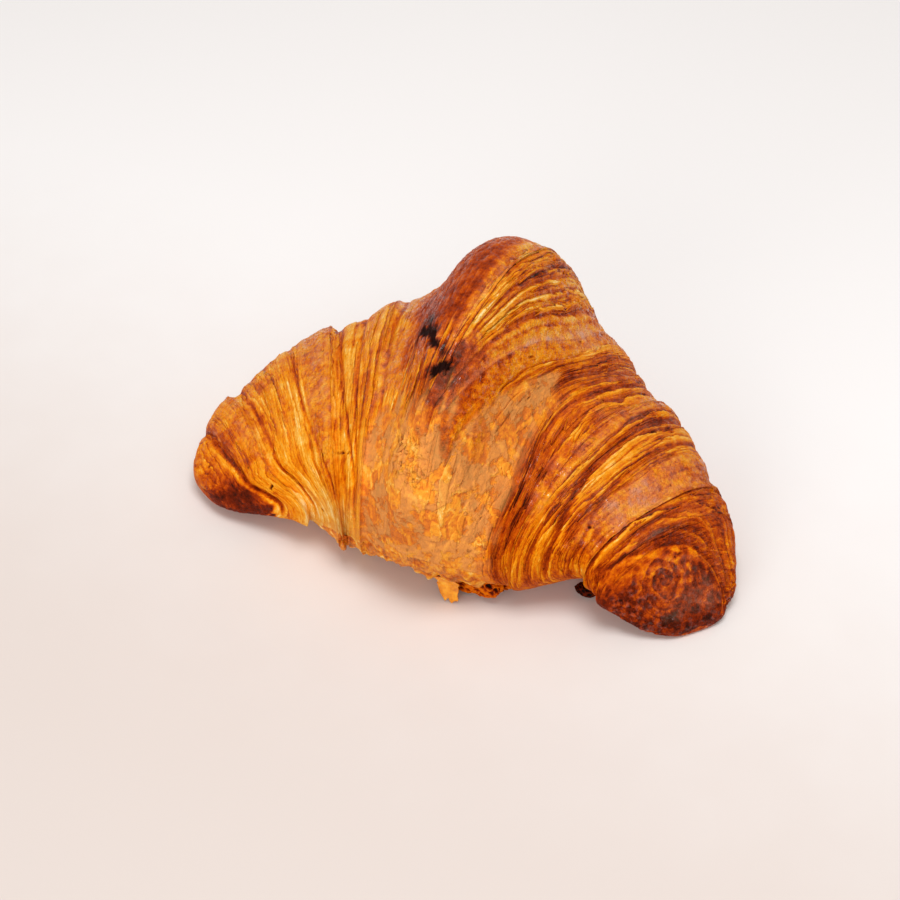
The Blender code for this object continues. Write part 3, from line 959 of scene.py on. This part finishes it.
# %% [markdown]
# Materials are written as sums. A small class stands for one socket of a node, and plus,
# minus and times on it add the Math nodes. Colours are mixed with Mix nodes, because a Math
# node would turn them grey. A second class makes the nodes of one finish, call by call.

# %% A class for sockets and one for finishes
class Socket:
    """One output socket; arithmetic on it adds Math nodes."""

    def __init__(self, finish, socket):
        self.finish = finish
        self.socket = socket

    def maths(self, operation, first, second):
        return self.finish.node("ShaderNodeMath", {"operation": operation}, {0: first, 1: second})

    def __add__(self, other):
        return self.maths("ADD", self, other)

    def __radd__(self, other):
        return self.maths("ADD", other, self)

    def __sub__(self, other):
        return self.maths("SUBTRACT", self, other)

    def __rsub__(self, other):
        return self.maths("SUBTRACT", other, self)

    def __mul__(self, other):
        return self.maths("MULTIPLY", self, other)

    def __rmul__(self, other):
        return self.maths("MULTIPLY", other, self)


class Finish:
    """A material whose nodes are made one call at a time."""

    def __init__(self, name, **fixed):
        self.material = bpy.data.materials.new(name)
        self.material.use_nodes = True
        self.tree = self.material.node_tree
        self.surface = self.tree.nodes["Principled BSDF"]
        for key, value in fixed.items():
            self.surface.inputs[key.replace("_", " ")].default_value = value

    def feed(self, socket, value):
        if isinstance(value, Socket):
            self.tree.links.new(value.socket, socket)
        else:
            socket.default_value = value

    def node(self, kind, settings, inputs, output=0):
        made = self.tree.nodes.new(kind)
        for key, value in settings.items():
            if key == "stops":
                self.stops(made.color_ramp, value)
            else:
                setattr(made, key, value)
        for key, value in inputs.items():
            self.feed(made.inputs[key], value)
        return Socket(self, made.outputs[output])

    def stops(self, ramp, stops):
        while len(ramp.elements) < len(stops):
            ramp.elements.new(0.5)
        for element, (place, colour) in zip(ramp.elements, stops):
            element.position = place
            element.color = colour

    def mask(self, name):
        return self.node("ShaderNodeAttribute", {"attribute_name": name}, {}, "Fac")

    def mix(self, factor, first, second):
        settings = {"data_type": "RGBA", "clamp_factor": True}
        return self.node("ShaderNodeMix", settings, {0: factor, 6: first, 7: second}, 2)

    def spot(self):
        return self.node("ShaderNodeTexCoord", {}, {}, "Object")

    def vector_maths(self, operation, first, second, output="Vector"):
        return self.node("ShaderNodeVectorMath", {"operation": operation}, {0: first, 1: second}, output)

    def noise(self, vector, scale, detail=3.0, rough=0.6):
        inputs = {"Vector": vector, "Scale": scale, "Detail": detail, "Roughness": rough}
        return self.node("ShaderNodeTexNoise", {}, inputs, "Fac")

    def steps(self, value, low, high):
        inputs = {"Value": value, "From Min": low, "From Max": high}
        return self.node("ShaderNodeMapRange", {"interpolation_type": "SMOOTHSTEP"}, inputs, "Result")

    def wear(self, **sockets):
        for key, value in sockets.items():
            self.feed(self.surface.inputs[key.replace("_", " ")], value)


def tint(red, green, blue):
    """A colour as a screen shows it, 0 to 255, for a shader."""
    parts = [part / 255.0 for part in (red, green, blue)]
    parts = [part / 12.92 if part <= 0.04045 else ((part + 0.055) / 1.055) ** 2.4 for part in parts]
    return (*parts, 1.0)


print("golden crust as a shader colour:", [round(c, 3) for c in tint(227, 131, 9)])

# %% [markdown]
# One scale of browning colours the whole crust, from raw dough through gold and red brown
# to burnt. The stored browning picks the place on it, streaks run along the roll, and
# mottling breaks up what would be even. Egg wash dries to a clear shiny film, so glazed
# places get a coat, and the rest stays almost matte.

# %% Baked crust material
crust = Finish("baked_crust_layers", Specular_IOR_Level=0.04, Coat_Roughness=0.13)
roll = crust.node("ShaderNodeAttribute", {"attribute_name": "roll"}, {}, "Vector")
place = crust.spot()


def streaks(across, along, detail):
    """Noise drawn out along the roll; across and along are waves per mm."""
    return crust.noise(crust.vector_maths("MULTIPLY", roll, (across, along, 1.0)), 1.0, detail)


wide_streak = streaks(0.5, 0.05, 2.0)
streak = streaks(1.6, 0.16, 3.0)
hair = streaks(5.0, 0.7, 3.0)
mottle = crust.noise(place, 300.0, 4.0, 0.62)
speck = crust.noise(place, 1100.0, 3.0, 0.65)
grit = crust.noise(place, 2600.0, 2.0, 0.6)
blotch = crust.steps(crust.noise(place, 190.0, 5.0, 0.62), 0.46, 0.54)
fleck = crust.steps(crust.noise(place, 620.0, 4.0, 0.66), 0.50, 0.58)
gloss = crust.mask("gloss")
striped = crust.mask("striped")
flaky = crust.mask("flaky")
sheen = crust.mask("sheen") * (0.3 + 0.7 * crust.steps(crust.noise(place, 150.0, 3.0), 0.41, 0.56))
spots = crust.steps(crust.noise(place, 420.0, 4.0, 0.7), 0.40, 0.62)
glints = crust.steps(crust.noise(place, 640.0, 3.0, 0.65), 0.53, 0.61)
thread = streaks(2.2, 0.12, 2.0)
pale_thread = crust.steps(thread, 0.58, 0.66)
dark_thread = 1.0 - crust.steps(thread, 0.34, 0.42)
bake = crust.mask("bake")
calm = (1.0 - 0.65 * striped) * (1.0 - 0.7 * crust.steps(bake, 0.56, 0.68))
level = bake + striped * (0.26 * (wide_streak - 0.5) + 0.28 * (streak - 0.5) + 0.16 * (hair - 0.5))
level = level + striped * (0.10 * dark_thread - 0.13 * pale_thread)
wash = gloss * calm
level = level + (0.12 + 0.36 * wash) * (mottle - 0.5) + (0.14 + 0.26 * wash) * (speck - 0.5)
level = level + 0.12 * wash * (spots - 0.5)
level = level + (0.03 + 0.12 * flaky + 0.08 * gloss) * (blotch - 0.5)
level = level + (0.03 + 0.05 * flaky) * (fleck - 0.5)
level = level + 0.12 * (grit - 0.5)
colour = crust.node("ShaderNodeValToRGB", {"stops": (
    (0.00, tint(252, 218, 150)), (0.14, tint(248, 188, 82)), (0.28, tint(241, 156, 26)),
    (0.42, tint(229, 127, 2)), (0.54, tint(206, 94, 0)), (0.66, tint(170, 60, 0)),
    (0.78, tint(114, 30, 0)), (0.90, tint(58, 13, 1)), (1.00, tint(22, 8, 6)))}, {"Fac": level})
colour = crust.mix(flaky * (0.24 + 0.40 * blotch), colour, tint(229, 160, 84))
# Painted sheen: a pale mauve painted reflection is mixed into the colour of upward-facing glaze.
colour = crust.mix(sheen * (0.35 + 0.45 * spots), colour, tint(218, 154, 120))
char = crust.mask("char")
colour = crust.mix(char, colour, tint(34, 12, 8))
rough = 0.46 - 0.16 * gloss + 0.20 * (speck - 0.5) + 0.3 * char
bump_height = striped * 0.5 * hair + striped * 0.9 * thread + (0.35 + 1.1 * gloss) * speck
bump_height = bump_height + (0.4 + 1.3 * gloss) * mottle + 0.35 * flaky * blotch + (0.2 + 0.4 * gloss) * grit
bump_inputs = {"Strength": 0.8, "Distance": 0.0010, "Height": bump_height}
bump = crust.node("ShaderNodeBump", {}, bump_inputs, "Normal")
crust.wear(Base_Color=colour, Roughness=rough, Coat_Weight=gloss * (0.03 + 0.85 * glints), Normal=bump)
dough = (left_arm, middle, right_arm, layer_lips, flank_scales, foot_frill, open_crumb, scorched_chip)
for piece in dough:
    piece.data.materials.append(crust.material)
print("crust material nodes:", len(crust.tree.nodes))

# %% [markdown]
# The amber flake is sugar and butter without dough: orange and wet looking. Clouds of
# lighter and darker orange stand in for its uneven thickness, and the light ones get more
# of a shiny coat, so that the plate looks thin though no light passes through it.

# %% Amber sugar material
amber = Finish("amber_sugar", Specular_IOR_Level=0.3, Coat_Roughness=0.10)
cloud = amber.noise(amber.spot(), 380.0, 3.0)
amber_stops = ((0.30, tint(204, 106, 2)), (0.54, tint(240, 152, 8)), (0.76, tint(252, 192, 52)))
amber_colour = amber.node("ShaderNodeValToRGB", {"stops": amber_stops}, {"Fac": cloud})
amber.wear(Base_Color=amber_colour, Roughness=0.25 + 0.3 * cloud, Coat_Weight=0.1 + 0.5 * cloud)
amber_flake.data.materials.append(amber.material)
print("amber nodes:", len(amber.tree.nodes))

# %% [markdown]
# The croissant lies on a plain pale sheet of studio paper, painted a little cooler and lighter
# toward the back and lighter close to its belly, as painted light. A floor this simple is one quad, and soft
# masks in its material do the rest.
# It belongs to the stage and not to the croissant, so it is staged and not ridden.

# %% Floor
floor_mesh = bpy.data.meshes.new("studio_floor")
FLOOR_REACH = 3.0
corners = [(x * FLOOR_REACH, y * FLOOR_REACH, 0) for x, y in ((-1, -1), (1, -1), (1, 1), (-1, 1))]
floor_mesh.from_pydata(corners, [], [(0, 1, 2, 3)])
floor = bpy.data.objects.new("studio_floor", floor_mesh)
bpy.context.scene.collection.objects.link(floor)
paper = Finish("pale_studio_paper", Roughness=0.8, Specular_IOR_Level=0.2)
place = paper.spot()
grain = paper.noise(place, 40.0, 2.0)
# The sheet is painted lighter and cooler toward the back, as painted light.
toward_back = paper.vector_maths("DOT_PRODUCT", place, (0.10, 1.0, 0.0), "Value")
back = paper.steps(toward_back + 0.03 * (grain - 0.5), -0.13, 0.10)
# Close to the belly the sheet is painted lighter, a pool of painted light that offsets the croissant's
# shade.
squeezed = paper.vector_maths("MULTIPLY", place, (0.55, 1.0, 1.0))
from_belly = paper.vector_maths("DISTANCE", squeezed, (0.0, -0.012, 0.0), "Value")
painted_light_near_belly = 1.0 - paper.steps(from_belly, 0.020, 0.072)
sheet_with_painted_light = paper.mix(back, tint(214, 204, 199), tint(236, 235, 236))
paper.wear(Base_Color=paper.mix(painted_light_near_belly * 0.18, sheet_with_painted_light, tint(250, 240, 228)))
floor_mesh.materials.append(paper.material)
print("floor is", 2 * FLOOR_REACH, "m wide")

# %% [markdown]
# Studio light is soft, so that no shadow has a hard edge. A softbox hangs over the front
# and shades the arches and the far side, a wide lamp low in front fills the near side, and
# a warm even sky keeps the shadows open.

# %% Light and sky
LAMP_AIM = (0.0, 0.0, 0.03)
LAMP_WHITE = (0.98, 0.99, 1.0)
SKY_COLOUR = (1.0, 0.94, 0.88, 1.0)
SKY_STRENGTH = 0.64
world = bpy.data.worlds.new("soft_sky")
bpy.context.scene.world = world
world.use_nodes = True
sky = world.node_tree.nodes["Background"]
sky.inputs["Color"].default_value = SKY_COLOUR
sky.inputs["Strength"].default_value = SKY_STRENGTH


def soft_lamp(name, place, width, power):
    """A square lamp at a place, in metres and watts, turned to the croissant."""
    light = bpy.data.lights.new(name, "AREA")
    light.size = width
    light.energy = power
    light.color = LAMP_WHITE
    lamp = bpy.data.objects.new(name, light)
    lamp.location = place
    lamp.rotation_euler = (Vector(LAMP_AIM) - Vector(place)).to_track_quat("-Z", "Y").to_euler()
    bpy.context.scene.collection.objects.link(lamp)


soft_lamp("overhead_softbox", (0.10, -0.16, 0.82), 0.35, 4.0)
soft_lamp("front_fill", (-0.20, -1.60, 0.50), 1.0, 11.0)
bpy.context.scene.view_settings.view_transform = "Standard"

# %% [markdown]
# The camera looks down at about 44 degrees from the right of the middle with a long lens,
# which is where the photograph's outline and stripes fall into place.

# %% Camera
CAMERA_AIM = Vector((-0.00302, -0.01529, 0.03263))
CAMERA_TURN = math.radians(20.9)
CAMERA_RISE = math.radians(43.88)
CAMERA_DISTANCE = 0.6
FOCAL_LENGTH = 85.12
SENSOR_WIDTH = 36.0
lens = bpy.data.cameras.new("photo_camera")
lens.lens = FOCAL_LENGTH
lens.sensor_width = SENSOR_WIDTH
lens.clip_start = 0.01
camera = bpy.data.objects.new("photo_camera", lens)
level = math.cos(CAMERA_RISE)
away = Vector((math.sin(CAMERA_TURN) * level, -math.cos(CAMERA_TURN) * level, math.sin(CAMERA_RISE)))
camera.location = CAMERA_AIM + away * CAMERA_DISTANCE
camera.rotation_euler = away.to_track_quat("Z", "Y").to_euler()
bpy.context.scene.collection.objects.link(camera)
bpy.context.scene.camera = camera
print("camera at", [round(c, 3) for c in camera.location])
